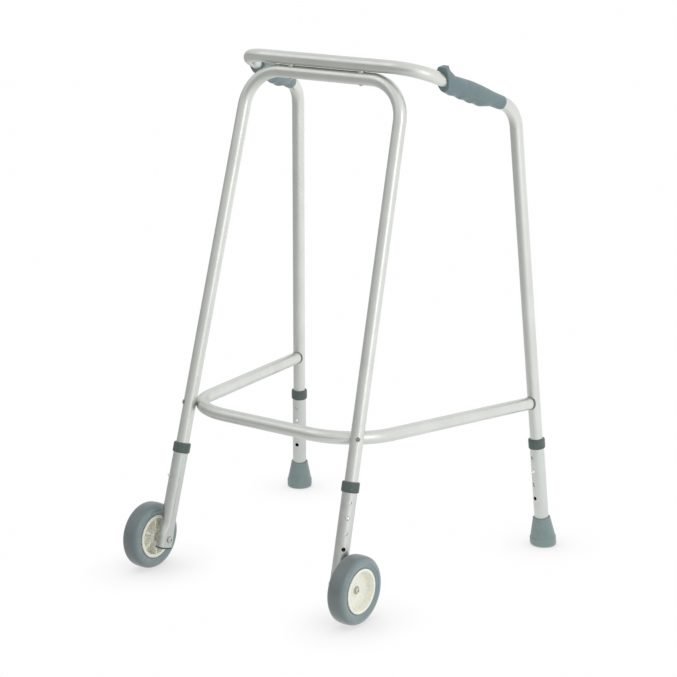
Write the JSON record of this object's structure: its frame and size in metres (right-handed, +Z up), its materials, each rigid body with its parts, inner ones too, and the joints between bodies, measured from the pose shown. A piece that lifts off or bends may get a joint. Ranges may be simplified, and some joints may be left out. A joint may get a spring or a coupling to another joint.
{
  "type": "walking frame",
  "caption": "Four-legged walking frame of bent aluminium tube with side grips, front wheels, rear rubber ferrules and telescopic legs set by snap buttons.",
  "frame": {"origin": "on the floor, at the middle of the footprint's box", "axes": "+Z up; the front, with the wheels, faces -Y; +X is the standing user's left"},
  "size_m": [0.596, 0.5807, 0.8821],
  "materials": {
    "tube": "satin natural anodised tube",
    "sleeve": "satin natural anodised tube",
    "grip": "soft moulded grey-green grip, fine matt texture",
    "collar": "moulded dark grey nylon",
    "ferrule": "moulded grey rubber",
    "tyre": "solid non-marking grey tyre",
    "hub": "moulded off-white plastic, slight sheen",
    "saddle": "moulded grey nylon",
    "plug": "moulded dark plastic",
    "bush": "dark acetal bush",
    "zinc": "bright zinc-plated steel",
    "rivet": "dull aluminium rivet",
    "spring": "spring steel",
    "button": "bright plated button",
    "spacer": "natural nylon"
  },
  "bodies": {
    "frame": {"handle_tube": "tube", "front_leg_tube": "tube", "brace_tube": "tube", "left_grip": "grip", "right_grip": "grip", "crossbar_screws": "zinc", "crossbar_rivet_nuts": "zinc", "brace_rivets": "rivet", "brace_saddles": "saddle", "brace_end_screws": "zinc", "left_front_clip": "spring", "right_front_clip": "spring", "left_rear_clip": "spring", "right_rear_clip": "spring"},
    "left_front_lower_leg": {"left_front_lower_tube": "sleeve", "left_front_collar": "collar", "left_end_plug": "plug", "left_axle_bolt": "zinc", "left_axle_nut": "zinc", "left_axle_washers": "spacer"},
    "left_rear_lower_leg": {"left_rear_lower_tube": "sleeve", "left_rear_collar": "collar", "left_ferrule": "ferrule", "left_ferrule_disc": "zinc"},
    "left_wheel": {"left_wheel_hub": "hub", "left_tyre": "tyre", "left_wheel_bush": "bush"},
    "left_front_button_body": {"left_front_button": "button"},
    "left_rear_button_body": {"left_rear_button": "button"},
    "right_front_lower_leg": {"right_front_lower_tube": "sleeve", "right_front_collar": "collar", "right_end_plug": "plug", "right_axle_bolt": "zinc", "right_axle_nut": "zinc", "right_axle_washers": "spacer"},
    "right_rear_lower_leg": {"right_rear_lower_tube": "sleeve", "right_rear_collar": "collar", "right_ferrule": "ferrule", "right_ferrule_disc": "zinc"},
    "right_wheel": {"right_wheel_hub": "hub", "right_tyre": "tyre", "right_wheel_bush": "bush"},
    "right_front_button_body": {"right_front_button": "button"},
    "right_rear_button_body": {"right_rear_button": "button"}
  },
  "joints": [
    {"name": "left_front_leg_height", "type": "slide", "parent": "frame", "child": "left_front_lower_leg", "axis": [-0.0308, 0.2667, 0.9633], "range_m": [-0.0254, 0.0508], "deforming": ["left_front_button"]},
    {"name": "left_front_button_press", "type": "slide", "parent": "frame", "child": "left_front_button_body", "axis": [-0.698, 0.6841, -0.2117], "range_m": [0, 0.0044], "stiffness_N_per_m": 1500, "springref_m": -0.004, "deforming": ["left_front_clip"]},
    {"name": "left_rear_leg_height", "type": "slide", "parent": "frame", "child": "left_rear_lower_leg", "axis": [-0.056, -0.0713, 0.9959], "range_m": [-0.0254, 0.0508], "deforming": ["left_rear_button"]},
    {"name": "left_rear_button_press", "type": "slide", "parent": "frame", "child": "left_rear_button_body", "axis": [0.255, 0.9633, 0.0833], "range_m": [0, 0.0044], "stiffness_N_per_m": 1500, "springref_m": -0.004, "deforming": ["left_rear_clip"]},
    {"name": "left_wheel_spin", "type": "hinge", "parent": "left_front_lower_leg", "child": "left_wheel", "pos_m": [0.2184, -0.2329, 0.0575], "axis": [1, 0, 0], "continuous": true},
    {"name": "right_front_leg_height", "type": "slide", "parent": "frame", "child": "right_front_lower_leg", "axis": [0.0308, 0.2667, 0.9633], "range_m": [-0.0254, 0.0508], "deforming": ["right_front_button"]},
    {"name": "right_front_button_press", "type": "slide", "parent": "frame", "child": "right_front_button_body", "axis": [0.698, 0.6841, -0.2117], "range_m": [0, 0.0044], "stiffness_N_per_m": 1500, "springref_m": -0.004, "deforming": ["right_front_clip"]},
    {"name": "right_rear_leg_height", "type": "slide", "parent": "frame", "child": "right_rear_lower_leg", "axis": [0.056, -0.0713, 0.9959], "range_m": [-0.0254, 0.0508], "deforming": ["right_rear_button"]},
    {"name": "right_rear_button_press", "type": "slide", "parent": "frame", "child": "right_rear_button_body", "axis": [-0.255, 0.9633, 0.0833], "range_m": [0, 0.0044], "stiffness_N_per_m": 1500, "springref_m": -0.004, "deforming": ["right_rear_clip"]},
    {"name": "right_wheel_spin", "type": "hinge", "parent": "right_front_lower_leg", "child": "right_wheel", "pos_m": [-0.2184, -0.2329, 0.0575], "axis": [1, 0, 0], "continuous": true}
  ]
}
